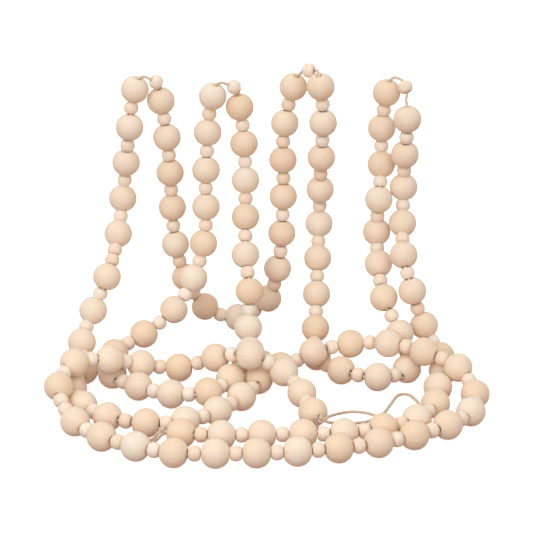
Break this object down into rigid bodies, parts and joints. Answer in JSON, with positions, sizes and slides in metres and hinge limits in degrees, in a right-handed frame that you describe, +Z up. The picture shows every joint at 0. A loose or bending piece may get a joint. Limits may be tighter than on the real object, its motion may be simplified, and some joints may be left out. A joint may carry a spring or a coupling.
{
  "type": "wood bead garland",
  "caption": "Long garland of large and small turned wood beads in turn on jute twine, hung in loops over a line of supports and pooled in front of them.",
  "frame": {"origin": "middle of the line of supports that the garland hangs over, level with the twine's highest places", "axes": "+X along the line of supports to the right, +Y back towards the wall, +Z up; the surface that the pooled beads lie on is 196 mm below the origin"},
  "size_m": [0.3016, 0.2449, 0.204],
  "materials": {
    "bead_wood": "bare, smooth turned wood",
    "jute_twine": "two-ply twisted jute"
  },
  "bodies": {
    "root": {"ring_start": "bead_wood", "ring_back_left": "bead_wood", "ring_left_turn": "bead_wood", "front_left": "bead_wood", "front_middle": "bead_wood", "front_right": "bead_wood", "ring_right_turn": "bead_wood", "ring_back_right": "bead_wood", "ring_under": "bead_wood", "inner_back": "bead_wood", "rise_2_foot": "bead_wood", "rise_2": "bead_wood", "drop_2": "bead_wood", "drop_2_foot": "bead_wood", "inner_front": "bead_wood", "inner_left": "bead_wood", "inner_turn": "bead_wood", "rise_1_foot": "bead_wood", "rise_1": "bead_wood", "drop_1": "bead_wood", "swag_left": "bead_wood", "swag_right": "bead_wood", "rise_3": "bead_wood", "drop_3": "bead_wood", "drop_3_foot": "bead_wood", "floor_swag": "bead_wood", "rise_4_foot": "bead_wood", "rise_4": "bead_wood", "drop_4": "bead_wood", "drop_4_foot": "bead_wood", "row_right_turn": "bead_wood", "row_right": "bead_wood", "row_left": "bead_wood", "link_1": "jute_twine", "link_2": "jute_twine", "link_3": "jute_twine", "link_4": "jute_twine", "knot_a": "jute_twine", "tail_a": "jute_twine", "loop_a": "jute_twine", "knot_b": "jute_twine", "loop_b": "jute_twine"}
  },
  "joints": []
}
